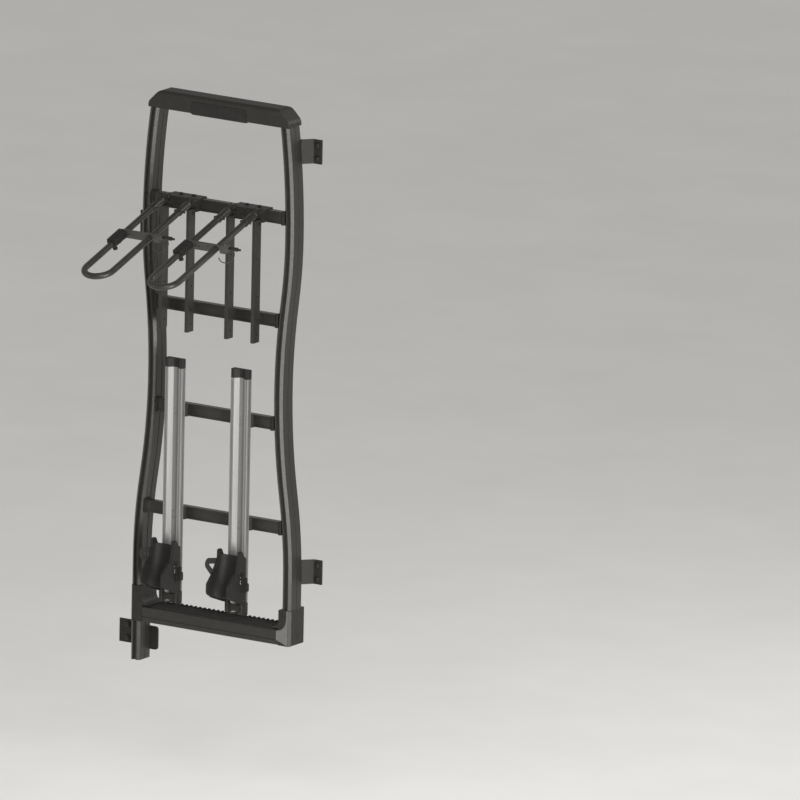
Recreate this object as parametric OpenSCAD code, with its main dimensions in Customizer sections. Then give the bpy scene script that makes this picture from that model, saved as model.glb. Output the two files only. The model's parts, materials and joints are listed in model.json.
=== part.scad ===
// Upright two-wheel carrier frame: hourglass side rails, four rungs and a step,
// with two folding wheel hoops above and two sliding wheel cups on tracks below.
// x runs across the frame, y back from the front of the rails, z up from the foot of the leg.

/* [Frame outline] */
// Half width over the rails at the foot
foot_half = 282; // [278:1:288]
// How far the waist lies inside the foot on each side
waist_in = 43; // [38:1:48]
// How far the shoulder lies inside the foot on each side
shoulder_in = 14; // [8:1:20]
// Height at which the straight foot starts to bend in
bend_z = 310; // [290:5:330]
// Height of the waist
waist_z = 880; // [860:5:900]
// Height of the widest part of the shoulder
shoulder_z = 1340; // [1320:5:1350]
// Radius of the first bend, on the outer face
lower_r = 1700; // [1500:50:1900]
// Radius from the shoulder to the top, on the outer face
crown_r = 2550; // [2300:50:2900]
// Overall height
frame_h = 1730; // [1700:5:1780]

/* [Rail] */
// Width of the rail section
rail_w = 32; // [30:1:36]
// Depth of the rail section
rail_d = 60; // [54:1:64]
// Bevel on the front edges of the rail
rail_nose = 8; // [4:1:9]
// Width of the groove down the front of the rail
groove_w = 10; // [7:1:11]
// Depth of the groove down the front of the rail
groove_d = 6; // [3:1:8]
// Distance of the side groove from the front
side_groove_y = 33; // [28:1:38]
// Height of the leg under the step
leg_h = 119; // [105:1:135]

/* [Rungs] */
// Height of the top face of the highest rung
rung_top = 1422; // [1405:1:1435]
// Distance from one rung to the next
rung_pitch = 311; // [304:1:320]
// Height of a rung
rung_h = 37; // [32:1:42]
// Depth of a rung
rung_d = 26; // [22:1:32]
// Setback of the rungs from the front of the rails
rung_y = 4; // [2:1:8]

/* [Handle] */
// Height of the top handle
cap_h = 54; // [48:1:62]
// Depth of the top handle
cap_d = 68; // [66:1:76]
// Chamfer on the upper corners of the handle
cap_chamfer = 37; // [28:1:42]
// How far the handle stands out past the rails
cap_lip = 2; // [1:0.5:5]
// How far the rails reach into the handle
cap_socket = 12; // [8:1:20]
// Width of the hand grip
grip_w = 194; // [150:2:220]
// Height of the hand grip
grip_h = 41; // [34:1:44]
// How far the grip hangs under the handle
grip_drop = 5; // [3:1:8]

/* [Step] */
// Height of the step bar
step_h = 47; // [40:1:54]
// Depth of the step bar
step_d = 77; // [70:1:86]
// Height of the tread ridges
tread_h = 4; // [3:0.5:6]
// Distance between two ridges of the tread
tread_pitch = 8; // [6:1:10]
// Height of the toothed edge behind the tread
tooth_h = 9; // [6:0.5:12]
// Distance between two teeth of that edge
tooth_pitch = 16; // [12:1:20]
// Height of the corner castings
corner_h = 108; // [95:1:125]
// How far a corner casting stands out around the rail
corner_wall = 1; // [0.5:0.5:4]
// How far a corner casting stands out on the inner side
corner_inner = 8; // [5:1:12]
// Fillet between casting and tread
corner_fillet = 24; // [14:1:28]

/* [Arms and brackets] */
// Height of a mounting arm
arm_h = 70; // [56:2:76]
// Thickness of the arm plate
arm_t = 6; // [4:0.5:8]
// Distance of the mounting pads behind the rails
pad_gap = 35; // [30:1:45]
// Width of a mounting pad
pad_w = 60; // [50:2:66]
// How far the outer edge of the lower pad stands out from the rail
low_reach = 97; // [92:1:110]
// How far the outer edge of the upper pad stands out from the rail
high_reach = 62; // [58:1:80]
// How far the lower arm runs past the inner face of its rail
low_tail = 26; // [10:1:32]
// How far the upper arm runs past the inner face of its rail
high_tail = 8; // [4:1:20]
// Hole for a pad bolt
pad_hole = 9; // [6:0.5:12]
// Distance between the two bolt holes of a pad
pad_hole_pitch = 40; // [30:1:44]
// Height of the middle of the lower arm
arm_low_z = 59; // [45:1:70]
// Height of the middle of the upper arm
arm_high_z = 1302; // [1280:2:1320]
// Height of a side bracket
bracket_h = 73; // [60:1:84]
// How far a side bracket stands out from the rail
bracket_reach = 50; // [40:1:60]
// Height of the middle of the lower side bracket
bracket_low_z = 334; // [320:2:360]
// Distance of the upper side bracket under the top of the handle
bracket_drop = 132; // [120:2:150]

/* [Hoops] */
// Distance between the middles of the two wheel places
place_pitch = 233; // [226:1:244]
// Distance between the two legs of a hoop
hoop_w = 93; // [86:1:100]
// Diameter of the hoop tube
hoop_tube = 19; // [16:1:22]
// Straight length of a hoop leg from its pivot
hoop_len = 428; // [400:1:480]
// Slope of the hoop below level when in use
hoop_tilt = 18.5; // [10:0.5:22]
// Distance of the hoop pivot in front of the rails
pivot_out = 33; // [31:1:38]
// Height of the hoop pivot under the top of the highest rung
pivot_drop = 1; // [0:0.5:4]
// Diameter of the hoop pivot pin
pivot_pin = 8; // [6:0.5:10]
// Width of the saddle that carries a hoop
saddle_w = 114; // [112:1:130]
// Height of the saddle
saddle_h = 38; // [32:1:50]
// Thickness of the saddle over the rung
saddle_t = 3; // [2:0.5:6]
// Length of the collar at the root of a hoop leg
collar_len = 46; // [36:1:54]
// Diameter of the collar
collar_dia = 23; // [21:0.5:26]
// Length of the cross pin through the collar
cross_len = 34; // [28:1:40]

/* [Gate] */
// Distance of the gate plate from the hoop pivot
gate_at = 225; // [190:1:260]
// Height of the gate plate
gate_h = 27; // [22:1:32]
// Thickness of the gate plate
gate_t = 5; // [4:0.5:7]
// How far the gate plate runs past the hoop
gate_over = 40; // [32:1:48]
// Length of the gate sleeve
sleeve_len = 64; // [56:1:80]
// Diameter of the gate sleeve
sleeve_dia = 28; // [26:1:32]
// Diameter of the lock pin
lock_dia = 7; // [5:0.5:9]
// Length of the lock pin
lock_len = 50; // [40:1:60]
// Diameter of the wire ring on the lock pin
lock_ring = 51; // [44:1:60]
// Wire of the ring
ring_wire = 3; // [2:0.5:4]

/* [Support bars] */
// Width of a support bar
bar_w = 11; // [10:1:14]
// Depth of a support bar
bar_d = 31; // [26:1:34]
// Length of a support bar
bar_len = 370; // [350:1:380]
// Diameter of the holes along a support bar
bar_hole = 6; // [4:0.5:8]
// Distance between the holes along a support bar
bar_hole_pitch = 114; // [100:2:120]

/* [Tracks] */
// Width of a track
track_w = 61; // [56:1:64]
// Depth of a track
track_d = 20; // [18:1:24]
// Width of the flat lip on each side of a track
lip_w = 12; // [10:1:14]
// Depth of the hollow between the lips
track_dip = 12; // [9:1:13]
// Height of the lower end of a track
track_z = 201; // [185:1:205]
// Length of a track with its caps
track_len = 740; // [730:1:770]
// Height of the upper track cap
track_cap = 27; // [22:1:36]
// Height of the lower track cap
track_foot = 6; // [4:1:12]
// Distance between track and rung
track_gap = 25; // [20:1:30]

/* [Wheel cups] */
// Radius of the tyre that the cup follows
tyre_r = 350; // [320:5:380]
// Width over the side walls of a cup
cup_w = 79; // [72:1:88]
// Wall of a cup
cup_wall = 7; // [5:0.5:8]
// Height of a cup
cup_h = 166; // [150:1:170]
// How far a cup stands out in front of its clamp
cup_reach = 95; // [80:1:110]
// Height of the foot of a cup over the lower end of its track
cup_rise = 35; // [30:1:40]
// Thickness of the clamp plate
clamp_t = 5; // [4:0.5:7]
// How far the toes of the clamp hang under the cup
clamp_drop = 29; // [24:1:32]
// Width of the window in the clamp
window_w = 36; // [30:1:40]
// Width of the strap band
strap_w = 14; // [10:1:16]

/* [Hidden] */
$fn = 48;
// Facets of the long bends
bend_fn = 720;
// Facets on each rounded corner of an outline
corner_steps = 6;
// Clearance of pieces that seat in or on each other
fit = 0.3;
// Side clearance at a pivot
side_fit = 0.5;
left = -1;
right = 1;
frame_grey = [0.25, 0.24, 0.22];
frame_dark = [0.15, 0.14, 0.13];
plastic = [0.12, 0.12, 0.12];
aluminium = [0.75, 0.74, 0.73];
steel = [0.6, 0.6, 0.6];

waist_half = foot_half - waist_in;
shoulder_half = foot_half - shoulder_in;
// Radii that join the bends without a corner, to a hundredth
waist_r = hundredth((pow(waist_z - bend_z, 2) + pow(foot_half - waist_half, 2))
    / (2 * (foot_half - waist_half)) - lower_r);
shoulder_r = hundredth((pow(shoulder_z - waist_z, 2) + pow(shoulder_half - waist_half, 2))
    / (2 * (shoulder_half - waist_half)) - waist_r);
low_turn = asin((waist_z - bend_z) / (lower_r + waist_r));
high_turn = asin((shoulder_z - waist_z) / (waist_r + shoulder_r));
low_z = bend_z + lower_r * sin(low_turn);
high_z = waist_z + waist_r * sin(high_turn);
cap_z = frame_h - cap_h;
bracket_high_z = frame_h - bracket_drop;
rail_top = cap_z + cap_socket;
crown_turn = asin((rail_top - shoulder_z) / (crown_r - rail_w)) + 0.3;

// Each bend starts level with its centre: centre x and z, radius of the rail's middle,
// sweep, and 1 where the centre lies outside the frame
BENDS = [
    [foot_half - lower_r, bend_z, lower_r - rail_w / 2, low_turn, 0],
    [waist_half + waist_r, waist_z, waist_r + rail_w / 2, -low_turn, 1],
    [waist_half + waist_r, waist_z, waist_r + rail_w / 2, high_turn, 1],
    [shoulder_half - shoulder_r, shoulder_z, shoulder_r - rail_w / 2, -high_turn, 0],
    [shoulder_half - crown_r, shoulder_z, crown_r - rail_w / 2, crown_turn, 0]
];
CROWN = 4;
function hundredth(x) = round(x * 100) / 100;
function bend_at(z) = z < low_z ? 0 : z < waist_z ? 1 : z < high_z ? 2 : z < shoulder_z ? 3 : CROWN;
function bulge(r, dz) = r - sqrt(r * r - dz * dz);
// Half width over the rails at a height
function outer_half(z) =
    z < bend_z ? foot_half
    : z < low_z ? foot_half - bulge(lower_r, z - bend_z)
    : z < high_z ? waist_half + bulge(waist_r, z - waist_z)
    : z < shoulder_z ? shoulder_half - bulge(shoulder_r, z - shoulder_z)
    : shoulder_half - bulge(crown_r, z - shoulder_z);

step_top = leg_h + step_h;
tread_top = step_top + tread_h;
corner_top = leg_h + corner_h;
corner_face = foot_half - rail_w - corner_inner;
pad_y = rail_d + pad_gap;
pad_x = foot_half + low_reach - pad_w / 2;
front_y = -pivot_out;
pivot_z = rung_top - pivot_drop;
saddle_front = front_y + hoop_tube / 2 + 5.5;
saddle_top = rung_top + saddle_t;
saddle_foot = saddle_top - saddle_h;
lug_w = 12;
lug_r = 11;
ear_t = 4;
tube_start = lug_r + 6;
bar_top = pivot_z - 23;
// Distance of the collar from the pivot
collar_at = lug_r + 14;
bar_foot = bar_top - bar_len;
bar_back = saddle_front;
track_back = rung_y - track_gap;
track_front = track_back - track_d;
cup_z = track_z + cup_rise;
// Lower edge of the gate plate under the middle of the hoop tube
gate_low = -13;
// Notch of the gate plate, its top just over the tube
notch_r = hoop_tube / 2 + 2;
notch_w = hoop_tube / 2 + fit - notch_r;
tab_d = 22;
tab_t = 5;
lock_w = gate_low + gate_h / 2;
// Turn of the wire ring out of the plane of the plate
ring_turn = 50;
// Middle of the side groove of a track, and its depth
hook_y = track_back - 9;
groove_in = 4;
hook_t = 4;
cup_back = track_front - clamp_t;
// The trough starts under the horns and ends at the foot
trough_y = cup_back - cup_reach * 0.15;
trough_z = cup_z + cup_h * 0.89;
top_turn = 9;
// Upper edge of the window, where the back of the cup starts
window_top = cup_z + cup_h * 0.16;
tyre_y = trough_y - tyre_r * cos(top_turn);
tyre_z = trough_z + tyre_r * sin(top_turn);
foot_turn = asin((tyre_z - cup_z - cup_h * 0.16) / tyre_r);

// Points on the rounded corner at p, between its neighbours a and b
function turn(a, p, b, r) =
    let (
        u = (a - p) / norm(a - p),
        v = (b - p) / norm(b - p),
        half = acos(u * v) / 2,
        c = p + (u + v) / norm(u + v) * r / sin(half),
        s = p + u * r / tan(half) - c,
        e = p + v * r / tan(half) - c,
        a0 = atan2(s[1], s[0]),
        gap = atan2(e[1], e[0]) - a0,
        sweep = gap > 180 ? gap - 360 : gap < -180 ? gap + 360 : gap
    )
    [for (i = [0 : corner_steps]) let (t = a0 + sweep * i / corner_steps) c + r * [cos(t), sin(t)]];

// Outline through points of the form x, y, corner radius
function rounded(points) =
    let (n = len(points), xy = [for (p = points) [p[0], p[1]]])
    [for (i = [0 : n - 1])
        each points[i][2] > 0
            ? turn(xy[(i + n - 1) % n], xy[i], xy[(i + 1) % n], points[i][2])
            : [xy[i]]];

// Half an outline closed by its mirror image in x
function mirrored(half) =
    concat(half, [for (i = [len(half) - 1 : -1 : 0]) [-half[i][0], half[i][1], half[i][2]]]);

// Puts the origin on the pad of the lower arm
module from_pad() {
    translate([pad_x, -pad_y, -arm_low_z]) children();
}

// Extrudes an outline of x and z from y0 to y1
module along_y(y0, y1) {
    translate([0, y1, 0]) rotate([90, 0, 0]) linear_extrude(y1 - y0) children();
}

// Extrudes an outline of y and z from x0 to x1
module along_x(x0, x1) {
    translate([x0, 0, 0]) rotate([90, 0, 90]) linear_extrude(x1 - x0) children();
}

module along_z(z0, z1) {
    translate([0, 0, z0]) linear_extrude(z1 - z0) children();
}

// Round rod between x0 and x1
module rod_x(x0, x1, r) {
    translate([x0, 0, 0]) rotate([0, 90, 0]) cylinder(h = x1 - x0, r = r);
}

// Round rod from y0 forwards to -y1
module rod_y(y0, y1, r) {
    translate([0, y1, 0]) rotate([90, 0, 0]) cylinder(h = y1 - y0, r = r);
}

// Sweeps a section along one bend of the right rail
module along_bend(i) {
    bend = BENDS[i];
    translate([bend[0], 0, bend[1]])
        mirror([bend[4], 0, 0])
        rotate([90, 0, 0])
        rotate_extrude(angle = bend[3], $fn = bend_fn)
        mirror([0, 1])
        translate([bend[2], 0])
        children();
}

// Section of a rail, middle of its width at x 0 and front at y 0
module rail_section() {
    half = rail_w / 2;
    polygon(rounded(mirrored([
        [groove_w / 2, groove_d, 0],
        [groove_w / 2, 0, 1],
        [half - rail_nose, 0, 1.5],
        [half, rail_nose, 1.5],
        [half, side_groove_y - 1.5, 0],
        [half - 1.5, side_groove_y - 1.5, 0],
        [half - 1.5, side_groove_y + 1.5, 0],
        [half, side_groove_y + 1.5, 0],
        [half, rail_d, 2]
    ])));
}

// Space that a rail takes, with clearance around it
module rail_space(clear) {
    translate([-rail_w / 2 - clear, -clear]) square([rail_w + 2 * clear, rail_d + 2 * clear]);
}

module rail() {
    translate([foot_half - rail_w / 2, 0, 0]) along_z(corner_top, bend_z) rail_section();
    for (i = [0 : CROWN - 1]) along_bend(i) rail_section();
    difference() {
        along_bend(CROWN) rail_section();
        translate([0, -10, rail_top]) cube([foot_half + rail_w, rail_d + 20, cap_h]);
    }
}

module rail_outer() {
    color(frame_grey) from_pad() mirror([1, 0, 0]) rail();
}

module rail_inner() {
    color(frame_grey) from_pad() rail();
}

module leg() {
    color(frame_grey) from_pad()
        translate([rail_w / 2 - foot_half, 0, 0]) along_z(0, leg_h) rail_section();
}

// Corner casting on the right, between rail, step bar and leg
module corner() {
    outer = foot_half + corner_wall;
    floor_z = tread_top + fit;
    intersection() {
        along_y(-corner_wall, step_d + corner_wall) polygon(rounded([
            [outer, corner_top, 2],
            [corner_face, corner_top, 3],
            [corner_face, floor_z + 1, corner_fillet - 1],
            [corner_face - corner_fillet, floor_z + 1, 0],
            [corner_face - corner_fillet, floor_z, 0],
            [corner_face, floor_z, 0],
            [corner_face, leg_h, 0],
            [outer, leg_h, 3]
        ]));
        along_z(leg_h - 1, corner_top + 1) polygon(rounded([
            [outer - rail_nose, -corner_wall, 2],
            [outer, rail_nose - corner_wall, 2],
            [outer, step_d + corner_wall, 6],
            [0, step_d + corner_wall, 0],
            [0, -corner_wall, 0]
        ]));
    }
}

module corner_outer() {
    color(frame_dark) from_pad() mirror([1, 0, 0]) corner();
}

module corner_inner() {
    color(frame_dark) from_pad() corner();
}

module step_bar() {
    color(frame_grey) from_pad() along_x(-corner_face, corner_face) difference() {
        polygon(rounded([
            [0, leg_h, 4], [step_d, leg_h, 4], [step_d, step_top, 0], [0, step_top, 8]
        ]));
        translate([-1, leg_h + step_h * 0.3]) square([3, 3]);
    }
}

// Ridged strip that lies on the step bar, with a toothed edge behind
module step_tread() {
    ridges = floor((step_d - 8) / tread_pitch);
    start = (step_d - ridges * tread_pitch) / 2;
    end = start + ridges * tread_pitch;
    edge_half = corner_face - corner_fillet - 2;
    teeth = floor(2 * edge_half / tooth_pitch);
    color(plastic) from_pad() {
        along_x(-corner_face, corner_face) polygon(concat(
            [[start, step_top]],
            [for (i = [0 : ridges - 1]) each [
                [start + i * tread_pitch + 1, step_top + tread_h * 0.4],
                [start + i * tread_pitch + 2, step_top + tread_h],
                [start + i * tread_pitch + 5, step_top + tread_h],
                [start + i * tread_pitch + 6, step_top + tread_h * 0.4]
            ]],
            [[end, step_top]]
        ));
        along_x(-edge_half, edge_half)
            translate([end - 4, step_top]) square([4, tooth_h - 3]);
        for (i = [0 : teeth - 1])
            translate([(i - (teeth - 1) / 2) * tooth_pitch, 0, 0])
            along_y(end - 4, end) polygon([
                [-tooth_pitch * 0.3, step_top + tooth_h - 4], [tooth_pitch * 0.3, step_top + tooth_h - 4],
                [tooth_pitch * 0.2, step_top + tooth_h], [-tooth_pitch * 0.2, step_top + tooth_h]
            ]);
    }
}

module grip_outline(clear) {
    z0 = cap_z - grip_drop - clear;
    z1 = cap_z - grip_drop + grip_h + clear;
    polygon(rounded(mirrored([[grip_w / 2 + clear, z0, 6], [grip_w / 2 + clear, z1, 10]])));
}

module top_handle() {
    half = outer_half(cap_z) + cap_lip;
    color(frame_dark) from_pad() difference() {
        intersection() {
            along_y(-cap_lip, cap_d - cap_lip) polygon(rounded(mirrored([
                [half, cap_z, 3],
                [half, frame_h - cap_chamfer, 22],
                [half - cap_chamfer, frame_h, 22]
            ])));
            along_x(-half, half) polygon(rounded([
                [-cap_lip, cap_z, 4],
                [cap_d - cap_lip, cap_z, 4],
                [cap_d - cap_lip, frame_h, 12],
                [-cap_lip, frame_h, 12]
            ]));
        }
        for (s = [0, 1]) mirror([s, 0, 0]) intersection() {
            along_bend(CROWN) rail_space(fit);
            translate([0, -10, cap_z - 10]) cube([foot_half, rail_d + 20, cap_socket + 10]);
        }
        along_y(-cap_lip - 1, cap_d * 0.6) grip_outline(fit);
    }
}

module handle_grip() {
    y0 = -cap_lip - 1;
    y1 = cap_d * 0.6 - fit;
    z0 = cap_z - grip_drop;
    color(plastic) from_pad() intersection() {
        along_y(y0, y1) grip_outline(0);
        along_x(-grip_w, grip_w) polygon(rounded([
            [y0, z0, 10], [y1, z0, 8], [y1, z0 + grip_h + 1, 0], [y0, z0 + grip_h + 1, 0]
        ]));
    }
}

// Rung with its top face at z, its ends cut to the inner faces of the rails
module rung(z) {
    color(frame_grey) from_pad() difference() {
        along_x(-outer_half(z) + rail_w / 2, outer_half(z) - rail_w / 2) difference() {
            polygon(rounded([
                [rung_y, z - rung_h, 3], [rung_y + rung_d, z - rung_h, 3],
                [rung_y + rung_d, z, 4], [rung_y, z, 4]
            ]));
            translate([rung_y - 1, z - rung_h + 6]) square([2.5, 2]);
            translate([rung_y - 1, z - 8]) square([2, 2]);
        }
        for (s = [0, 1]) mirror([s, 0, 0]) along_bend(bend_at(z)) rail_space(fit);
    }
}

module rung_1() {
    rung(rung_top);
}

module rung_2() {
    rung(rung_top - rung_pitch);
}

module rung_3() {
    rung(rung_top - 2 * rung_pitch);
}

module rung_4() {
    rung(rung_top - 3 * rung_pitch);
}

// Cranked plate from the back of the right rail out to a pad at its outer side
module arm(z, h, reach, pad, tail) {
    half = outer_half(z);
    inner = half - rail_w - tail;
    difference() {
        union() {
            along_y(rail_d, rail_d + arm_t) polygon(rounded([
                [inner, z - h / 2, 9], [half - 2, z - h / 2, 0],
                [half - 2, z + h / 2, 0], [inner, z + h / 2, 9]
            ]));
            along_z(z - h / 2, z + h / 2) polygon([
                [half - 12, rail_d],
                [half - 2, rail_d],
                [half + reach - pad, pad_y - arm_t],
                [half + reach, pad_y - arm_t],
                [half + reach, pad_y],
                [half + reach - pad - 2, pad_y],
                [half - 5, rail_d + arm_t],
                [half - 12, rail_d + arm_t]
            ]);
        }
        for (dz = [-1, 1]) translate([half + reach - pad / 2, 0, z + dz * pad_hole_pitch / 2])
            rod_y(rail_d, pad_y + 1, pad_hole / 2);
    }
}

module hinge_arm_lower() {
    color(frame_dark) from_pad() mirror([1, 0, 0]) arm(arm_low_z, arm_h, low_reach, pad_w, low_tail);
}

module hinge_arm_upper() {
    color(frame_dark) from_pad() mirror([1, 0, 0]) arm(arm_high_z, arm_h, high_reach, pad_w, high_tail);
}

module side_bracket_lower() {
    color(frame_dark) from_pad() arm(bracket_low_z, bracket_h, bracket_reach, bracket_reach * 0.55, -2);
}

module side_bracket_upper() {
    color(frame_dark) from_pad() arm(bracket_high_z, bracket_h, bracket_reach, bracket_reach * 0.55, -2);
}

// Places what belongs to one wheel place
module at_place(side) {
    from_pad() translate([side * place_pitch / 2, 0, 0]) children();
}

// Saddle over the highest rung, with a pair of ears for each leg of the hoop
module saddle(side) {
    color(frame_dark) at_place(side) difference() {
        union() {
            along_x(-saddle_w / 2, saddle_w / 2) polygon([
                [saddle_front, saddle_foot],
                [rung_y - fit, saddle_foot],
                [rung_y - fit, rung_top + fit],
                [rung_y + rung_d + fit, rung_top + fit],
                [rung_y + rung_d + fit, rung_top - 12],
                [rung_y + rung_d + 5, rung_top - 12],
                [rung_y + rung_d + 5, saddle_top],
                [saddle_front, saddle_top]
            ]);
            for (leg = [-1, 1], s = [-1, 1]) {
                x0 = leg * hoop_w / 2 + s * (lug_w / 2 + side_fit + ear_t / 2) - ear_t / 2;
                along_x(x0, x0 + ear_t) ear_outline();
            }
        }
        translate([0, front_y, pivot_z]) rod_x(-saddle_w, saddle_w, pivot_pin / 2);
    }
}

// Side view of an ear, round at the pivot and square at the saddle
module ear_outline() {
    translate([front_y, pivot_z]) circle(lug_r);
    translate([front_y, pivot_z - lug_r]) square([saddle_front - front_y + 1, 2 * lug_r]);
}

module saddle_left() {
    saddle(left);
}

module saddle_right() {
    saddle(right);
}

// Pins that carry the legs of both hoops
module pivot_pins() {
    reach = lug_w / 2 + side_fit + ear_t + 3;
    color(steel) for (side = [left, right], leg = [-1, 1])
        at_place(side) translate([leg * hoop_w / 2, front_y, pivot_z])
        rod_x(-reach, reach, pivot_pin / 2);
}

module support_bars(side) {
    color(frame_grey) at_place(side) for (leg = [-1, 1]) translate([leg * hoop_w / 2, 0, 0])
        difference() {
            translate([-bar_w / 2, bar_back - bar_d, bar_foot]) cube([bar_w, bar_d, bar_len]);
            for (i = [0 : 2]) translate([0, bar_back - bar_d / 2, bar_foot + 25 + i * bar_hole_pitch])
                rod_x(-bar_w, bar_w, bar_hole / 2);
        }
}

module support_bars_left() {
    support_bars(left);
}

module support_bars_right() {
    support_bars(right);
}

// Blocks that hold the support bars off the second rung
module bar_standoffs() {
    z = rung_top - rung_pitch - rung_h / 2;
    color(frame_dark) for (side = [left, right], leg = [-1, 1])
        at_place(side) translate([leg * hoop_w / 2 - bar_w / 2, bar_back, z - rung_h * 0.33])
        cube([bar_w, rung_y - bar_back, rung_h * 0.66]);
}

// Section of a track: hollow front between two lips, a groove in each side and a slot behind
module track_section() {
    difference() {
        track_outline();
        for (s = [-1, 1]) translate([s * track_w / 2 - groove_in, hook_y - 2.5]) square([2 * groove_in, 5]);
        for (s = [-1, 1]) translate([s * (track_w - lip_w) / 2 - 0.75, track_front - 1]) square([1.5, 2.5]);
        translate([-5, track_back - 4]) square([10, 5]);
    }
}

module track(side) {
    color(aluminium) at_place(side)
        along_z(track_z + track_foot, track_z + track_len - track_cap) track_section();
}

module track_left() {
    track(left);
}

module track_right() {
    track(right);
}

module track_outline() {
    half = track_w / 2;
    polygon(rounded(mirrored([
        [half - lip_w - track_dip, track_front + track_dip, 3],
        [half - lip_w, track_front, 1.5],
        [half, track_front, 2],
        [half, track_back, 2]
    ])));
}

// Plastic ends of both tracks
module track_caps() {
    color(plastic) for (side = [left, right]) at_place(side) {
        along_z(track_z, track_z + track_foot) track_outline();
        along_z(track_z + track_len - track_cap, track_z + track_len) track_outline();
    }
}

// Blocks between the tracks and the two lower rungs
module track_mounts() {
    color(frame_dark) for (side = [left, right], n = [2, 3]) at_place(side)
        along_z(rung_top - n * rung_pitch - rung_h, rung_top - n * rung_pitch) polygon(rounded(mirrored([
            [track_w * 0.28, track_back, 0], [track_w * 0.28, track_back + 6, 0],
            [track_w * 0.42, rung_y - 5, 0], [track_w * 0.42, rung_y, 0]
        ])));
}

// Places what turns with a hoop: pivot at the origin, legs along -y, flat in z
module on_hoop(side) {
    at_place(side) translate([0, front_y, pivot_z]) rotate([hoop_tilt, 0, 0]) children();
}

module hoop(side) {
    r = hoop_tube / 2;
    color(frame_dark) on_hoop(side) difference() {
        union() {
            for (leg = [-1, 1]) translate([leg * hoop_w / 2, 0, 0]) {
                rod_y(-hoop_len, -tube_start, r);
                rod_y(-collar_at - collar_len, -collar_at, collar_dia / 2);
                translate([0, -collar_at - collar_len + 8, 0]) rod_x(-cross_len / 2, cross_len / 2, 3);
                rod_x(-lug_w / 2, lug_w / 2, lug_r);
                translate([-lug_w / 2, -tube_start - 3, -7]) cube([lug_w, tube_start + 3, 14]);
            }
            translate([0, -hoop_len, 0]) rotate([0, 0, 180])
                rotate_extrude(angle = 180, $fn = 64) translate([hoop_w / 2, 0]) circle(r);
        }
        for (leg = [-1, 1]) translate([leg * hoop_w / 2, 0, 0])
            rod_x(-lug_w, lug_w, pivot_pin / 2 + 0.2);
    }
}

module hoop_left() {
    hoop(left);
}

module hoop_right() {
    hoop(right);
}

// Places what turns with a gate: on the left leg of the hoop, at the plate
module on_gate(side) {
    on_hoop(side) translate([-hoop_w / 2, -gate_at, 0]) children();
}

module gate_sleeve(side) {
    r = sleeve_dia / 2;
    color(plastic) on_gate(side) difference() {
        union() {
            rod_y(-gate_t / 2 - sleeve_len, -gate_t / 2, r);
            along_y(-gate_t / 2 - sleeve_len, -gate_t / 2)
                polygon(rounded([[-r - 2, 0, 2], [-r - 2, r + 2, 5], [0, r + 2, 2], [0, 0, 0]]));
            translate([0, -gate_t / 2 - sleeve_len * 0.8, -r - 7]) cylinder(h = r, r = 5);
        }
        rod_y(-gate_t - sleeve_len, 0, hoop_tube / 2 + fit);
    }
}

module gate_sleeve_left() {
    gate_sleeve(left);
}

module gate_sleeve_right() {
    gate_sleeve(right);
}

// Plate over the hoop, notched to rest on its right leg, with a tab for the lock pin
module gate_plate(side) {
    end = hoop_w + gate_over;
    color(frame_dark) on_gate(side) difference() {
        union() {
            along_y(-gate_t / 2, gate_t / 2) difference() {
                union() {
                    circle(sleeve_dia / 2);
                    polygon(rounded([
                        [0, gate_low, 0], [end - gate_h * 0.3, gate_low, 4],
                        [end + gate_h * 0.2, gate_low + gate_h, 4], [0, gate_low + gate_h, 8]
                    ]));
                }
                circle(hoop_tube / 2 + fit);
                translate([hoop_w, notch_w]) circle(notch_r);
                translate([hoop_w - notch_r, gate_low - 20]) square([2 * notch_r, notch_w - gate_low + 20]);
            }
            translate([end - 4 - tab_t, 0, gate_low + 3]) cube([tab_t, tab_d, gate_h - 6]);
        }
        translate([0, tab_d - 11, lock_w]) rod_x(end - 20, end + 20, lock_dia / 2 + 0.2);
    }
}

module gate_plate_left() {
    gate_plate(left);
}

module gate_plate_right() {
    gate_plate(right);
}

// Pin through the tab of a gate plate, with an open wire ring that hangs from it
module lock_pin(side) {
    end = hoop_w + gate_over;
    x1 = end + lock_len - 12;
    mid = (lock_ring - ring_wire) / 2;
    reach = mid * cos(48);
    color(steel) on_gate(side) translate([0, tab_d - 11, lock_w]) {
        rod_x(end - 16, x1, lock_dia / 2);
        rod_x(end + 4, x1 - 10, lock_dia / 2 + 2.5);
        translate([end + 4 - reach * cos(ring_turn), -reach * sin(ring_turn), -mid * sin(48)])
            rotate([0, 0, ring_turn]) rotate([90, 0, 0]) rotate([0, 0, -180])
            rotate_extrude(angle = 228) translate([mid, 0]) circle(ring_wire / 2);
    }
}

module lock_pin_left() {
    lock_pin(left);
}

module lock_pin_right() {
    lock_pin(right);
}

// Corner of a cup's side view: shares of its reach and height, and a radius
function cup_point(u, v, r) = [cup_back - cup_reach * u, cup_z + cup_h * v, r];

// Side view of a cup wall: horn at the top, lobe at the middle, foot at the bottom
module cup_wall_outline() {
    polygon(rounded([
        cup_point(0.24, 1, 5),
        cup_point(0.41, 1, 6),
        cup_point(0.41, 0.7, 20),
        cup_point(0.78, 0.55, 12),
        cup_point(1, 0.43, 13),
        cup_point(1, 0.25, 14),
        cup_point(0.72, 0.15, 25),
        cup_point(0, 0, 3),
        cup_point(0, 0.4, 0),
        cup_point(0.04, 0.45, 0),
        cup_point(0.09, 0.84, 8)
    ]));
}

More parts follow.
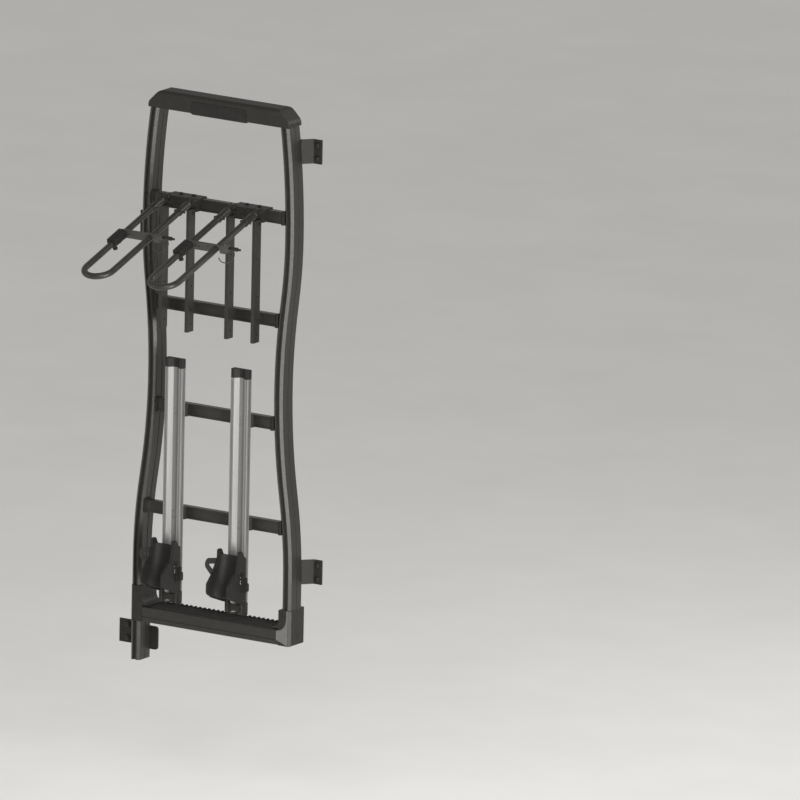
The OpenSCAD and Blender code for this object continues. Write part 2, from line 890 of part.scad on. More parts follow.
// Trough between two walls, revolved about the axle of the wheel that stands in it
module wheel_cup(side) {
    half = cup_w / 2;
    color(plastic) at_place(side) {
        for (s = [-1, 1]) {
            x0 = s * (half - cup_wall / 2) - cup_wall / 2;
            along_x(x0, x0 + cup_wall) cup_wall_outline();
        }
        translate([0, tyre_y, tyre_z]) rotate([90, 0, 90]) rotate([0, 0, -foot_turn])
            rotate_extrude(angle = foot_turn - top_turn, $fn = bend_fn)
            polygon(rounded([
                [tyre_r + cup_wall, half - 1, 0],
                [tyre_r - 26, half - 1, 0],
                [tyre_r - 26, half - cup_wall, 0],
                [tyre_r, half - cup_wall, 24],
                [tyre_r, cup_wall - half, 24],
                [tyre_r - 26, cup_wall - half, 0],
                [tyre_r - 26, 1 - half, 0],
                [tyre_r + cup_wall, 1 - half, 0]
            ]));
        translate([1 - half, cup_back - cup_wall, window_top])
            cube([cup_w - 2, cup_wall, trough_z - window_top - 4]);
    }
}

module wheel_cup_left() {
    wheel_cup(left);
}

module wheel_cup_right() {
    wheel_cup(right);
}

// Clamp behind a cup: plate with a window, two posts on the lips, hooks in the side grooves
module cup_clamp(side) {
    foot = cup_z - clamp_drop;
    half = track_w / 2 + fit + hook_t;
    post = track_w / 2 - lip_w + 2;
    face = track_front - fit;
    color(frame_dark) at_place(side) {
        along_y(cup_back, face) difference() {
            polygon(rounded(mirrored([
                [half - hook_t, foot, 3],
                [half - hook_t, trough_z - 6, 6]
            ])));
            polygon(rounded(mirrored([[window_w / 2, foot + 25, 6], [window_w / 2, window_top, 2]])));
            translate([0, foot - post * 1.1]) circle(post * 1.4);
        }
        for (s = [0, 1]) mirror([s, 0, 0]) {
            along_z(foot, window_top) polygon(rounded([
                [post, cup_back - 6, 3], [half - hook_t, cup_back - 6, 4],
                [half - hook_t, face, 0], [post, face, 0]
            ]));
            along_z(foot, cup_z + 4) polygon([
                [half - hook_t - 3, cup_back], [half, cup_back],
                [half, hook_y + 2.5 - fit], [half - hook_t - groove_in + 1, hook_y + 2.5 - fit],
                [half - hook_t - groove_in + 1, hook_y - 2.5 + fit], [half - hook_t, hook_y - 2.5 + fit],
                [half - hook_t, face], [half - hook_t - 3, face]
            ]);
        }
    }
}

module cup_clamp_left() {
    cup_clamp(left);
}

module cup_clamp_right() {
    cup_clamp(right);
}

// Strap that holds the wheel: a loop in front of the left wall, with a tail on its outer face
module cup_strap(side) {
    x = -cup_w / 2 - fit;
    y = cup_back - cup_reach * 0.86;
    z = cup_z + cup_h * 0.78;
    color(plastic) at_place(side) along_x(x - 4, x) difference() {
        polygon(rounded([
            [y - strap_w * 3.2, z + strap_w * 1.8, strap_w + 2],
            [y + 56, z + 7, 8], [y + 56, z - 30, 8],
            [y + 26 + strap_w * 0.5, z - 24 - strap_w * 2.1, strap_w + 2]
        ]));
        polygon(rounded([[y, z, 2], [y + 38, z - 7, 2], [y + 26, z - 24, 2]]));
    }
}

module cup_strap_left() {
    cup_strap(left);
}

module cup_strap_right() {
    cup_strap(right);
}

// Ratchet buckle on the outer face of the right wall: base, bolt head, lever and ratchet
module cup_buckle(side) {
    x = cup_w / 2;
    bolt = cup_point(0.26, 0.55, 0);
    catch = cup_point(0.12, 0.35, 0);
    color(plastic) at_place(side) {
        along_x(x, x + 3.5) polygon(rounded([
            [bolt[0] - 9, bolt[1] + 9, 6], [bolt[0] + 14, bolt[1] + 9, 6],
            [catch[0] + 8, catch[1] - 16, 4], [catch[0] - 13, catch[1] - 16, 6]
        ]));
        translate([0, bolt[0], bolt[1]]) rod_x(x + 3, x + 9, 6);
        along_x(x + 3, x + 14) polygon(rounded([
            [catch[0] - 10, catch[1] - 13, 4], [catch[0] + 6, catch[1] - 13, 4],
            [catch[0] + 6, catch[1] + 13, 7], [catch[0] - 10, catch[1] + 13, 7]
        ]));
        along_x(x + 3, x + 11) polygon(rounded([
            [catch[0] - 8, catch[1] + 5, 0], [catch[0] + 3, catch[1] + 5, 0],
            [catch[0] + 1, catch[1] + 29, 4], [catch[0] - 7, catch[1] + 29, 3]
        ]));
    }
}

module cup_buckle_left() {
    cup_buckle(left);
}

module cup_buckle_right() {
    cup_buckle(right);
}

rail_outer();
rail_inner();
top_handle();
handle_grip();
step_bar();
step_tread();
corner_outer();
corner_inner();
leg();
rung_1();
rung_2();
rung_3();
rung_4();
hinge_arm_lower();
hinge_arm_upper();
side_bracket_lower();
side_bracket_upper();
saddle_left();
saddle_right();
support_bars_left();
support_bars_right();
bar_standoffs();
pivot_pins();
track_left();
track_right();
track_caps();
track_mounts();
hoop_left();
hoop_right();
gate_sleeve_left();
gate_sleeve_right();
gate_plate_left();
gate_plate_right();
lock_pin_left();
lock_pin_right();
wheel_cup_left();
wheel_cup_right();
cup_clamp_left();
cup_clamp_right();
cup_strap_left();
cup_strap_right();
cup_buckle_left();
cup_buckle_right();
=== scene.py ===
"""Looks for an upright two-wheel carrier frame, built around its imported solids."""
import json
import math

import bmesh
import bpy
from mathutils import Matrix, Vector


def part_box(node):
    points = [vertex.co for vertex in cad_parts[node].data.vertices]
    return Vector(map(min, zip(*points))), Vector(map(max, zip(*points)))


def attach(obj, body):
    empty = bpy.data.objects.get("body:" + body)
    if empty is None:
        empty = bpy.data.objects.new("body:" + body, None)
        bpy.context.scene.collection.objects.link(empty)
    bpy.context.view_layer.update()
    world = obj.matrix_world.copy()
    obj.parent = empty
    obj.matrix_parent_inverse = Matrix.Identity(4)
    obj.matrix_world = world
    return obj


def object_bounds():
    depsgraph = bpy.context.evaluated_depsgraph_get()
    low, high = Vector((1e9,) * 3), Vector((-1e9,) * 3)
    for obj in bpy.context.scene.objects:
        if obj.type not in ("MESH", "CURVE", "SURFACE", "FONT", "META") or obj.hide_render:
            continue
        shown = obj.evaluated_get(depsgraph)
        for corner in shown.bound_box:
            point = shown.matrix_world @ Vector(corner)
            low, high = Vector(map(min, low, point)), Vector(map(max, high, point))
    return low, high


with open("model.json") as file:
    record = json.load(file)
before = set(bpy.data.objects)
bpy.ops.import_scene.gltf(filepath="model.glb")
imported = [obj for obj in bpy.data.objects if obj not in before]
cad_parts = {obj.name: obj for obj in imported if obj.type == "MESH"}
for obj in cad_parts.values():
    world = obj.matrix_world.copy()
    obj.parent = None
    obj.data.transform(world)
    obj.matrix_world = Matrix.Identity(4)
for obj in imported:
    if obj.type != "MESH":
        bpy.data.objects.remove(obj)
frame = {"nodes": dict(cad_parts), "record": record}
CAD_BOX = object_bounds()
NODES = frame["nodes"]
MM = 0.001

# Camera: the picture is nearly a parallel projection, so the lens is long and far away.
# The width is in metres at the aim, and lens and sensor are in mm. The other views use this lens too, and with a
# longer one their cameras stand too far off to see the frame.
PICTURE_W = 2.353
LENS = 1500.0
SENSOR = 36.0
CLIP_START = 0.05
CLIP_END = 1000.0
VIEW_RIGHT = Vector((0.834, 0.5515, 0.0185))
VIEW_UP = Vector((-0.140, 0.179, 0.9738))
# Aim, in metres from the low front corner of the frame: along the picture's right and up, and to the camera
FOOT_CORNER = Vector((0.065, -0.095, -0.059))
AIM_RIGHT = 0.800
AIM_UP = 0.764
AIM_DEPTH = 0.35

# Studio, in metres and watts
FLOOR_DROP = 0.45
FLOOR_HALF = 60.0
PALE = (0.92, 0.915, 0.90)
SKY = 0.5
STUDIO_AIM = (0.35, 0.0, 0.8)
# name, place, width and height, power, colour
LIGHTS = (
    ("edge_strip", (2.74, -1.72, 0.72), (0.62, 2.3), 68.0, (1.0, 0.99, 0.97)),
    ("key", (2.2, -3.6, 2.4), (2.0, 2.0), 55.0, (1.0, 0.98, 0.95)),
    ("fill", (-3.2, -3.0, 1.6), (2.4, 2.4), 22.0, (0.95, 0.97, 1.0)),
    ("rim", (2.5, 3.0, 2.6), (1.6, 2.2), 40.0, (1.0, 1.0, 1.0)),
)

# Paint: how far its roughness strays to each side, and the depth of its grain in metres
ROUGH_SPREAD = 0.08
GRAIN_DEPTH = 0.0002

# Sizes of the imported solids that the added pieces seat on
HOOP_HALF = 46.5 * MM
EAR_FACE = 10.5 * MM
TRACK_DIP = 12 * MM
CHAMFER = 8 * MM
CORNER_PLATE_T = 1.2 * MM
# Corners of the pale plate on the casting's front, a painted highlight, in mm: distance from its outer side,
# height over its foot
HIGHLIGHT_PLATE_OUTLINE = ((8, 1), (8, 107), (12, 107), (12.5, 78), (14.5, 68), (19, 58), (28, 49.5), (38, 45.5),
                 (48, 44), (48, 16))
# Arms and brackets: node, side that it reaches to, width of its pad, how far it runs past its rail, in mm
ARMS = (
    ("hinge_arm_lower", -1, 60, 26),
    ("hinge_arm_upper", -1, 60, 8),
    ("side_bracket_lower", 1, 27.5, -2),
    ("side_bracket_upper", 1, 27.5, -2),
)
# Places along a hoop's leg or its gate, in mm from the fold's pivot
# Rims of a collar: place, radius
COLLAR_RIMS = ((17.5, 10.6), (25, 12.2), (69.5, 12.2))
CROSS_PIN_AT = 63
SLEEVE_RINGS = (234, 262, 288)
KNOB_AT = 279
PLATE_AT = 227.5
SLEEVE_SCREW_AT = 250
# Turned profiles, in mm: radius, height
PIN_NUT = ((4.2, 0), (7, 0), (7.2, 0.5), (7, 1.1), (5.4, 1.2), (5.2, 3.2), (4.4, 3.9), (0, 4.1))
CROSS_PIN_HEAD = ((3, -2), (4.6, -1.6), (4.8, 0), (3.4, 1.2), (0, 1.3))
SLEEVE_RING = ((13.4, -2), (14.9, -1.2), (14.9, 1.2), (13.4, 2))
KNOB = ((4, 3), (7, 2.4), (7.4, 0), (7, -3), (5, -4), (0, -4))
# Cup screws, in mm below its top: the latch's with their sizes, then the walls'
LATCH_SCREWS = ((76, 3.6), (88, 2.6), (95, 2.6))
LOW_WALL_SCREWS = (70, 122, 150)
HIGH_WALL_SCREWS = (122, 150)
BUCKLE_RIDGES = 5
RIDGE_PITCH = 4.4
# Screw heads that come up more than once
SCREW = 4 * MM
SMALL_SCREW = 3.5 * MM


def make_camera():
    """Looks along the photograph's direction, with the frame where the photograph has it."""
    right = VIEW_RIGHT.normalized()
    up = (VIEW_UP - right * VIEW_UP.dot(right)).normalized()
    back = right.cross(up)
    aim = FOOT_CORNER + right * AIM_RIGHT + up * AIM_UP + back * AIM_DEPTH
    data = bpy.data.cameras.new("camera")
    data.lens = LENS
    data.sensor_width = SENSOR
    data.clip_start = CLIP_START
    data.clip_end = CLIP_END
    camera = bpy.data.objects.new("camera", data)
    bpy.context.scene.collection.objects.link(camera)
    place = aim + back * (PICTURE_W * LENS / SENSOR)
    turn = Matrix((right, up, back)).transposed().to_4x4()
    camera.matrix_world = Matrix.Translation(place) @ turn
    bpy.context.scene.camera = camera


def make_light(name, place, size, watts, colour):
    """Rectangular light that faces the middle of the object."""
    data = bpy.data.lights.new(name, "AREA")
    data.shape = "RECTANGLE"
    data.size, data.size_y = size
    data.energy = watts
    data.color = colour
    light = bpy.data.objects.new(name, data)
    bpy.context.scene.collection.objects.link(light)
    light.location = place
    light.rotation_euler = (Vector(STUDIO_AIM) - Vector(place)).to_track_quat("-Z", "Y").to_euler()


def make_studio():
    """Pale floor and sky, a tall strip at the right for the rail edges, a soft key and weak fills."""
    scene = bpy.context.scene
    scene.view_settings.view_transform = "Standard"
    world = bpy.data.worlds.new("studio")
    scene.world = world
    world.use_nodes = True
    sky = world.node_tree.nodes["Background"]
    sky.inputs["Color"].default_value = (*PALE, 1.0)
    sky.inputs["Strength"].default_value = SKY
    low = CAD_BOX[0][2] - FLOOR_DROP
    mesh = bpy.data.meshes.new("floor")
    corners = [(x * FLOOR_HALF, y * FLOOR_HALF, low) for x, y in ((-1, -1), (1, -1), (1, 1), (-1, 1))]
    mesh.from_pydata(corners, [], [(0, 1, 2, 3)])
    floor = bpy.data.objects.new("floor", mesh)
    scene.collection.objects.link(floor)
    floor.data.materials.append(Paint("floor", PALE, roughness=0.9, speckle=0.01, scale=3.0).material)
    for light in LIGHTS:
        make_light(*light)


class Paint:
    """A procedural material: mottled colour, uneven roughness, fine bump and softened edges."""

    def __init__(self, name, colour, roughness=0.5, metallic=0.0, speckle=0.06, scale=60.0, specular=0.5,
                 bump=0.15, bump_scale=900.0, edge=0.0008, stretch=(1.0, 1.0, 1.0)):
        self.material = bpy.data.materials.new(name)
        self.material.use_nodes = True
        self.tree = self.material.node_tree
        self.shader = self.tree.nodes["Principled BSDF"]
        self.shader.inputs["Metallic"].default_value = metallic
        self.shader.inputs["Specular IOR Level"].default_value = specular
        place = self.node("ShaderNodeTexCoord").outputs["Object"]
        spread = self.node("ShaderNodeMapping")
        spread.inputs["Scale"].default_value = stretch
        self.link(place, spread.inputs["Vector"])
        self.place = spread.outputs["Vector"]
        mottle = self.noise(scale, 4.0)
        dark = tuple(c * (1.0 - speckle * 2.0) for c in colour)
        light = tuple(min(1.0, c * (1.0 + speckle * 2.0)) for c in colour)
        self.colour = self.ramp(mottle, [(0.3, dark), (0.7, light)])
        self.link(self.colour, self.shader.inputs["Base Color"])
        rough = self.node("ShaderNodeMapRange")
        rough.inputs["To Min"].default_value = max(0.02, roughness - ROUGH_SPREAD)
        rough.inputs["To Max"].default_value = min(1.0, roughness + ROUGH_SPREAD)
        self.link(self.noise(scale * 2.3, 3.0), rough.inputs["Value"])
        self.link(rough.outputs["Result"], self.shader.inputs["Roughness"])
        grain = self.node("ShaderNodeBump")
        grain.inputs["Strength"].default_value = bump
        grain.inputs["Distance"].default_value = GRAIN_DEPTH
        self.link(self.noise(bump_scale, 2.0), grain.inputs["Height"])
        if edge > 0.0:
            bevel = self.node("ShaderNodeBevel")
            bevel.samples = 4
            bevel.inputs["Radius"].default_value = edge
            self.link(bevel.outputs["Normal"], grain.inputs["Normal"])
        self.link(grain.outputs["Normal"], self.shader.inputs["Normal"])

    def node(self, kind):
        return self.tree.nodes.new(kind)

    def link(self, source, target):
        self.tree.links.new(source, target)

    def noise(self, scale, detail):
        noise = self.node("ShaderNodeTexNoise")
        noise.inputs["Scale"].default_value = scale
        noise.inputs["Detail"].default_value = detail
        self.link(self.place, noise.inputs["Vector"])
        return noise.outputs["Fac"]

    def ramp(self, value, stops):
        """Colour ramp over a value, from (position, colour) stops."""
        ramp = self.node("ShaderNodeValToRGB")
        while len(ramp.color_ramp.elements) < len(stops):
            ramp.color_ramp.elements.new(0.5)
        for element, (at, colour) in zip(ramp.color_ramp.elements, stops):
            element.position = at
            element.color = (*colour, 1.0)
        self.link(value, ramp.inputs["Fac"])
        return ramp.outputs["Color"]


def make_materials():
    """One material for each slot of the record, and more for the gates, the painted highlight plate and small
    parts.
    """
    return {
        "frame_paint": Paint("frame_paint", (0.026, 0.0243, 0.021), roughness=0.33, specular=0.34,
                             speckle=0.05),
        "casting_paint": Paint("casting_paint", (0.022, 0.0205, 0.0175), roughness=0.5, specular=0.24,
                               bump=0.25, bump_scale=500.0),
        "hoop_paint": Paint("hoop_paint", (0.024, 0.0225, 0.0195), roughness=0.34, specular=0.4, speckle=0.05),
        "black_plastic": Paint("black_plastic", (0.016, 0.015, 0.0135), roughness=0.6, specular=0.26,
                               speckle=0.08, bump=0.3, bump_scale=700.0),
        "track_aluminium": Paint("track_aluminium", (0.23, 0.226, 0.222), roughness=0.5, metallic=0.5,
                                 speckle=0.04, scale=40.0, stretch=(1.0, 1.0, 0.05), bump=0.1),
        "zinc_steel": Paint("zinc_steel", (0.04, 0.039, 0.037), roughness=0.45, metallic=0.7, speckle=0.08),
        "strap_web": Paint("strap_web", (0.02, 0.02, 0.02), roughness=0.85, speckle=0.15, scale=200.0,
                           edge=0.0),
        "bolt_head": Paint("bolt_head", (0.03, 0.029, 0.027), roughness=0.42, metallic=0.5, speckle=0.08,
                           edge=0.0003),
        # Pale paint for the plate on the inner casting's front: a painted highlight where that face catches the
        # light.
        "painted_highlight_paint": Paint("painted_highlight_paint", (0.13, 0.127, 0.122), roughness=0.38, specular=0.4, speckle=0.05),
        "gate_paint": Paint("gate_paint", (0.05, 0.049, 0.046), roughness=0.42, specular=0.35, speckle=0.05),
        "bright_zinc": Paint("bright_zinc", (0.55, 0.54, 0.52), roughness=0.35, metallic=0.8, edge=0.0003),
        "rubber": Paint("rubber", (0.012, 0.012, 0.012), roughness=0.75, speckle=0.1, bump=0.35),
    }


def dress_nodes(materials):
    """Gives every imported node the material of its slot, and the gate plates a paler one."""
    for part in frame["record"]["subparts"]:
        mesh = NODES[part["node"]].data
        paint = "gate_paint" if part["node"].startswith("gate_plate") else part["material_slot"]
        mesh.materials.clear()
        mesh.materials.append(materials[paint].material)


class Shape:
    """Gathers turned forms, blocks and plates in one mesh that rides on a body."""

    def __init__(self, name, body, paint, slot):
        self.name = name
        self.body = body
        self.paint = paint
        self.slot = slot
        self.bm = bmesh.new()

    def turned(self, profile, place, sides):
        """Revolves (radius, height) pairs about the local z of place."""
        rings = []
        for radius, height in profile:
            if radius < 1e-7:
                rings.append([self.bm.verts.new(place @ Vector((0.0, 0.0, height)))])
                continue
            turn = [2.0 * math.pi * (k + 0.5) / sides for k in range(sides)]
            points = [Vector((radius * math.cos(a), radius * math.sin(a), height)) for a in turn]
            rings.append([self.bm.verts.new(place @ p) for p in points])
        for low, high in zip(rings, rings[1:]):
            self.bridge(low, high)
        return self

    def bridge(self, low, high):
        """Faces between two rings of points, either of which may be a single point."""
        n = max(len(low), len(high))
        for k in range(n):
            m = (k + 1) % n
            corners = [low[k % len(low)], low[m % len(low)], high[m % len(high)], high[k % len(high)]]
            loop = [v for i, v in enumerate(corners) if v not in corners[:i]]
            if len(loop) > 2:
                self.bm.faces.new(loop)

    def block(self, low, high, bevel):
        """Box between two corners with rounded edges."""
        size = Vector(high) - Vector(low)
        middle = (Vector(high) + Vector(low)) / 2
        place = Matrix.Translation(middle) @ Matrix.Diagonal((*size, 1.0))
        made = bmesh.ops.create_cube(self.bm, size=1.0, matrix=place)
        edges = list({e for v in made["verts"] for e in v.link_edges})
        bmesh.ops.bevel(self.bm, geom=edges, offset=bevel, segments=3, profile=0.5, affect="EDGES")
        return self

    def plate(self, outline, out, thickness):
        """Plate with a chamfered rim, on the surface that its outline lies on; out points away from the seat."""
        outline = [Vector(p) for p in outline]
        out = Vector(out)
        middle = sum(outline, Vector()) / len(outline)
        inner = [p + (middle - p).normalized() * thickness * 0.5 for p in outline]
        rings = [[self.bm.verts.new(p + out * lift * thickness) for p in loop]
                 for loop, lift in ((outline, -0.9), (outline, 0.5), (inner, 1.0))]
        for low, high in zip(rings, rings[1:]):
            self.bridge(low, high)
        self.bm.faces.new(rings[0])
        self.bm.faces.new(list(reversed(rings[-1])))
        return self

    def hex_bolt(self, at, out, size):
        """Washer and chamfered hexagon head of a bolt with this thread size; out points away from the seat."""
        place = seat(at, out)
        t = size * 0.16
        self.turned([(size * 0.5, 0.0), (size * 1.05, 0.0), (size * 1.1, t * 0.4), (size * 1.05, t),
                     (size * 0.6, t)], place, 24)
        top = t + size * 0.62
        self.turned([(size * 0.92, t), (size * 0.98, t + size * 0.1), (size * 0.98, top - size * 0.14),
                     (size * 0.8, top), (size * 0.66, top + size * 0.03), (0.0, top + size * 0.03)], place, 6)
        return self

    def button(self, at, out, size):
        """Domed screw head with a hexagon socket."""
        place = seat(at, out)
        self.turned([(size * 0.95, 0.0), (size, size * 0.08), (size * 0.93, size * 0.3),
                     (size * 0.7, size * 0.46), (size * 0.46, size * 0.52)], place, 20)
        self.turned([(size * 0.46, size * 0.52), (size * 0.4, size * 0.5), (size * 0.4, size * 0.2),
                     (0.0, size * 0.16)], place, 6)
        return self

    def bead(self, start, end, radius, pitch):
        """Weld bead from start to end, as overlapping ripples."""
        start, end = Vector(start), Vector(end)
        steps = max(3, round((end - start).length / pitch))
        along = (end - start).normalized()
        profile = []
        for k in range(steps * 4 + 1):
            swell = 0.86 + 0.14 * abs(math.sin(math.pi * k / 4))
            cap = min(1.0, 0.35 + 0.65 * min(k, steps * 4 - k) / 3.0)
            profile.append((radius * swell * cap, (end - start).length * k / (steps * 4)))
        self.turned(profile, seat(start, along), 10)
        return self

    def finish(self, smooth_angle=40.0):
        """Makes the object, with its material and body."""
        bmesh.ops.recalc_face_normals(self.bm, faces=self.bm.faces)
        limit = math.radians(smooth_angle)
        for face in self.bm.faces:
            face.smooth = True
        for edge in self.bm.edges:
            edge.smooth = len(edge.link_faces) == 2 and edge.calc_face_angle(0.0) < limit
        mesh = bpy.data.meshes.new(self.name)
        self.bm.to_mesh(mesh)
        self.bm.free()
        mesh.materials.append(MATERIALS[self.paint].material)
        thing = bpy.data.objects.new(self.name, mesh)
        bpy.context.scene.collection.objects.link(thing)
        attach(thing, self.body)


def seat(at, out):
    """Matrix with its origin at a point and its z along out."""
    turn = Vector(out).to_track_quat("Z", "Y").to_matrix().to_4x4()
    return Matrix.Translation(Vector(at)) @ turn


def middle_of(low, high):
    return (low + high) / 2


def in_mm(pairs):
    """Scales a profile of (radius, height) pairs from mm to metres."""
    return [(radius * MM, height * MM) for radius, height in pairs]


def add_arm_bolts():
    """Bolts through the four pads, and bolts and welds where the arms meet the backs of the rails."""
    bolts = Shape("arm_bolts", "frame", "bolt_head", "zinc_steel")
    welds = Shape("arm_welds", "frame", "casting_paint", "casting_paint")
    for name, out, pad, tail in ARMS:
        low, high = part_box(name)
        z = (low.z + high.z) / 2
        far = high.x if out > 0 else low.x
        rail = (low.x if out > 0 else high.x) + out * (tail + 16) * MM
        for dz in (-20 * MM, 20 * MM):
            bolts.hex_bolt((far - out * pad * MM / 2, high.y - 6 * MM, z + dz), (0, -1, 0), 8 * MM)
            bolts.hex_bolt((rail, low.y + 6 * MM, z + dz * 0.8), (0, 1, 0), 7 * MM)
        for edge in (low.z + 0.6 * MM, high.z - 0.6 * MM):
            y = low.y + 1 * MM
            welds.bead((rail - out * 13 * MM, y, edge), (rail + out * 11 * MM, y, edge), 2.4 * MM, 5 * MM)
    bolts.finish()
    welds.finish(60.0)


def add_rung_sockets():
    """Plastic socket round each end of every rung, with a screw in front."""
    sockets = Shape("rung_sockets", "frame", "black_plastic", "black_plastic")
    screws = Shape("rung_screws", "frame", "bolt_head", "zinc_steel")
    for k in range(1, 5):
        low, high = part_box(f"rung_{k}")
        for x0, x1 in ((low.x + 0.5 * MM, low.x + 11 * MM), (high.x - 11 * MM, high.x - 0.5 * MM)):
            sockets.block((x0, low.y - 2 * MM, low.z - 2 * MM),
                          (x1, high.y + 2 * MM, high.z + 2 * MM), 1.5 * MM)
            screws.button(((x0 + x1) / 2, low.y - 2 * MM, (low.z + high.z) / 2), (0, -1, 0), 3 * MM)
    sockets.finish()
    screws.finish()


def add_handle_details():
    """Raised panel and screws of the grip, and seam bolts of the handle."""
    low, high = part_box("handle_grip")
    panel = Shape("grip_panel", "frame", "black_plastic", "black_plastic")
    panel.block((low.x + 17 * MM, low.y - 0.6 * MM, low.z + 12 * MM),
                (high.x - 17 * MM, low.y + 2 * MM, high.z - 8 * MM), 1 * MM)
    panel.finish()
    screws = Shape("handle_screws", "frame", "bolt_head", "zinc_steel")
    for x in (low.x + 9 * MM, high.x - 9 * MM):
        screws.button((x, low.y, low.z + 24 * MM), (0, -1, 0), SMALL_SCREW)
    low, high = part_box("top_handle")
    for x, out in ((low.x, -1), (high.x, 1)):
        for dy in (20 * MM, 46 * MM):
            screws.button((x, low.y + dy, low.z + 10 * MM), (out, 0, 0), SCREW)
    screws.finish()


def add_step_details():
    """Screws of the castings and the tread, and the pale plate on the inner casting, a painted highlight."""
    screws = Shape("step_screws", "frame", "bolt_head", "zinc_steel")
    for name, out in (("corner_outer", -1), ("corner_inner", 1)):
        low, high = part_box(name)
        side = high.x if out > 0 else low.x
        screws.button((side - out * 24 * MM, low.y, high.z - 14 * MM), (0, -1, 0), SCREW)
        for z in (low.z + 26 * MM, high.z - 14 * MM):
            screws.button((side, middle_of(low, high).y, z), (out, 0, 0), SCREW)
    add_corner_highlight_plate()
    low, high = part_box("step_tread")
    for x in (low.x + 40 * MM, (low.x + high.x) / 2, high.x - 40 * MM):
        screws.button((x, low.y + 16 * MM, high.z - 5.4 * MM), (0, 0, 1), SCREW)
    screws.finish()


def add_corner_highlight_plate():
    """Pale plate on the front of the inner casting, a painted highlight where that face catches the light, and a
    strip over its chamfer.
    """
    low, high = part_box("corner_inner")
    # The pale plate is a painted highlight: it stands in for light caught on the casting's front face.
    highlight_plate = Shape("corner_highlight_plate", "frame", "painted_highlight_paint", "casting_paint")
    highlight_plate.plate([(high.x - x * MM, low.y, low.z + z * MM) for x, z in HIGHLIGHT_PLATE_OUTLINE], (0, -1, 0), CORNER_PLATE_T)
    highlight_plate.finish()
    strip = Shape("corner_strip", "frame", "frame_paint", "casting_paint")
    side = math.sqrt(0.5)
    strip.plate([(high.x - x, low.y + CHAMFER - x, z) for x, z in
                 ((CHAMFER, low.z + MM), (0, low.z + MM), (0, high.z - MM), (CHAMFER, high.z - MM))],
                (side, -side, 0), CORNER_PLATE_T)
    strip.finish()


def add_place_fittings(side):
    """Bolts on one wheel place: saddle, pivot pins, bars and track."""
    bolts = Shape(f"saddle_bolts_{side}", "frame", "bolt_head", "zinc_steel")
    low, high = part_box(f"saddle_{side}")
    pin_low, pin_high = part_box("pivot_pins")
    centre = (low.x + high.x) / 2
    for dx in (-22 * MM, 22 * MM):
        bolts.hex_bolt((centre + dx, high.y - 18 * MM, high.z - 7 * MM), (0, 0, 1), 6 * MM)
        bolts.button((centre + dx * 0.6, high.y - 57 * MM, low.z + 12 * MM), (0, -1, 0), SCREW)
    pin = middle_of(pin_low, pin_high)
    for leg in (-1, 1):
        for out in (-1, 1):
            at = Vector((centre + leg * HOOP_HALF + out * EAR_FACE, pin.y, pin.z))
            bolts.turned(in_mm(PIN_NUT), seat(at, (out, 0, 0)), 24)
    low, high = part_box(f"support_bars_{side}")
    stand_low, stand_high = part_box("bar_standoffs")
    for x in (low.x, high.x):
        out = -1 if x == low.x else 1
        for z in ((stand_low.z + stand_high.z) / 2, high.z - 14 * MM):
            bolts.hex_bolt((x, high.y - 9 * MM, z), (out, 0, 0), 4.5 * MM)
    bolts.finish()
    screws = Shape(f"track_screws_{side}", "frame", "track_aluminium", "zinc_steel")
    low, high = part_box(f"track_{side}")
    for rung in ("rung_3", "rung_4"):
        z = middle_of(*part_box(rung)).z
        for dz in (-9 * MM, 9 * MM):
            screws.button(((low.x + high.x) / 2, low.y + TRACK_DIP, z + dz), (0, -1, 0), SCREW)
    screws.finish()


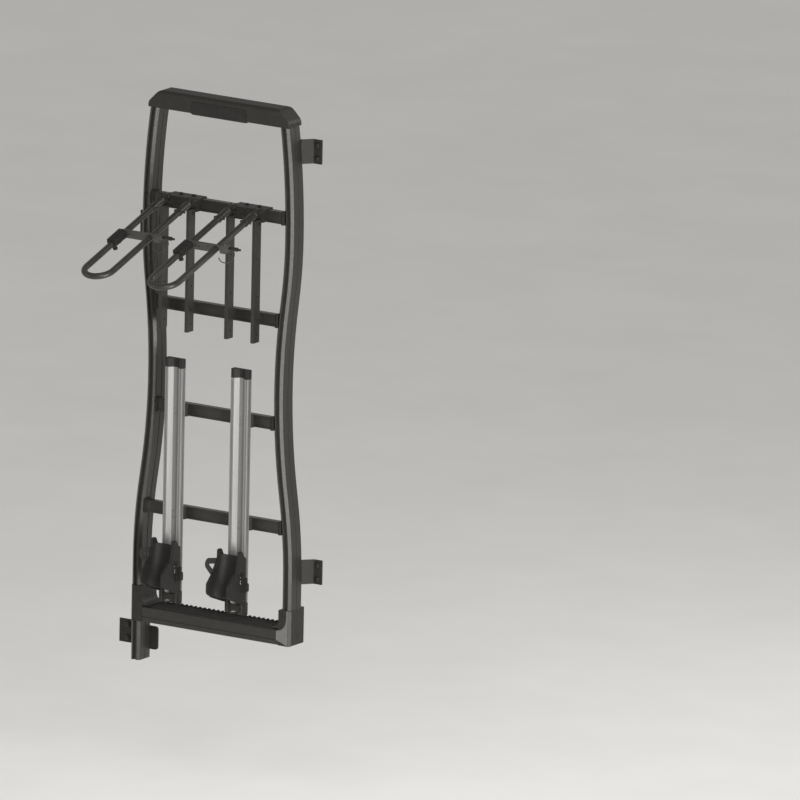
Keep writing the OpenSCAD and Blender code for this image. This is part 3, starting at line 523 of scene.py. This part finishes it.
def add_hoop_details(side):
    """Rims and cross pins of a hoop's collars, rings and screws of its gate."""
    joints = {j["name"]: j for j in frame["record"]["behaviour"]["joints"]}
    gate = joints[f"gate_{side}_swing"]
    pivot = Vector(gate["pos_m"])
    along = Vector(gate["axis"]).normalized()
    rings = Shape(f"hoop_welds_{side}", f"hoop_arm_{side}", "hoop_paint", "hoop_paint")
    for leg in (0, 2 * HOOP_HALF):
        root = pivot + Vector((leg, 0, 0))
        for s, radius in COLLAR_RIMS:
            rings.turned(in_mm(((9.6, -1.6), (radius, -0.8), (radius, 0.6), (9.6, 1.6))),
                         seat(root + along * s * MM, along), 28)
        for out in (-1, 1):
            at = root + along * CROSS_PIN_AT * MM + Vector((out * 17 * MM, 0, 0))
            rings.turned(in_mm(CROSS_PIN_HEAD), seat(at, (out, 0, 0)), 16)
    rings.finish()
    sleeve = Shape(f"gate_rings_{side}", f"gate_{side}", "black_plastic", "black_plastic")
    across = Vector((1, 0, 0))
    up = across.cross(along).normalized()
    if up.z < 0:
        up = -up
    for s in SLEEVE_RINGS:
        sleeve.turned(in_mm(SLEEVE_RING), seat(pivot + along * s * MM, along), 32)
    knob = pivot + along * KNOB_AT * MM - up * 21 * MM
    sleeve.turned(in_mm(KNOB), seat(knob, up), 12)
    sleeve.finish()
    screws = Shape(f"gate_screws_{side}", f"gate_{side}", "bolt_head", "zinc_steel")
    for x in (22 * MM, 34 * MM):
        screws.button(pivot + along * PLATE_AT * MM + across * x, along, 3 * MM)
    screws.button(pivot + along * SLEEVE_SCREW_AT * MM - across * 16 * MM + up * 8 * MM, -across, SMALL_SCREW)
    screws.finish()


def add_cup_details(side):
    """Screws of a wheel cup, its latch, clamp and strap, and the ridges of its buckle."""
    body = f"cup_{side}"
    low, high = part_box(f"wheel_cup_{side}")
    screws = Shape(f"cup_screws_{side}", body, "zinc_steel", "zinc_steel")
    latch = Shape(f"latch_screws_{side}", body, "bright_zinc", "zinc_steel")
    for drop, size in LATCH_SCREWS:
        latch.button((high.x, high.y - 29 * MM, high.z - drop * MM), (1, 0, 0), size * MM)
    latch.finish()
    for x, out, drops in ((low.x, -1, LOW_WALL_SCREWS), (high.x, 1, HIGH_WALL_SCREWS)):
        for drop in drops:
            screws.button((x, high.y - 12 * MM, high.z - drop * MM), (out, 0, 0), SMALL_SCREW)
    clamp_low, clamp_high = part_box(f"cup_clamp_{side}")
    for x in (clamp_low.x + 9 * MM, clamp_high.x - 9 * MM):
        screws.button((x, clamp_low.y, clamp_low.z + 14 * MM), (0, -1, 0), SMALL_SCREW)
    low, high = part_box(f"cup_strap_{side}")
    screws.button((low.x, high.y - 12 * MM, low.z + 32 * MM), (-1, 0, 0), SMALL_SCREW)
    screws.finish()
    ridges = Shape(f"buckle_ridges_{side}", body, "rubber", "black_plastic")
    low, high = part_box(f"cup_buckle_{side}")
    for k in range(BUCKLE_RIDGES):
        z = low.z + (7 + RIDGE_PITCH * k) * MM
        ridges.block((high.x - 1 * MM, high.y - 16 * MM, z),
                     (high.x + 0.9 * MM, high.y - 5 * MM, z + 2 * MM), 0.6 * MM)
    ridges.finish()


make_camera()
make_studio()
MATERIALS = make_materials()
dress_nodes(MATERIALS)
add_arm_bolts()
add_rung_sockets()
add_handle_details()
add_step_details()
for place in ("left", "right"):
    add_place_fittings(place)
    add_hoop_details(place)
    add_cup_details(place)
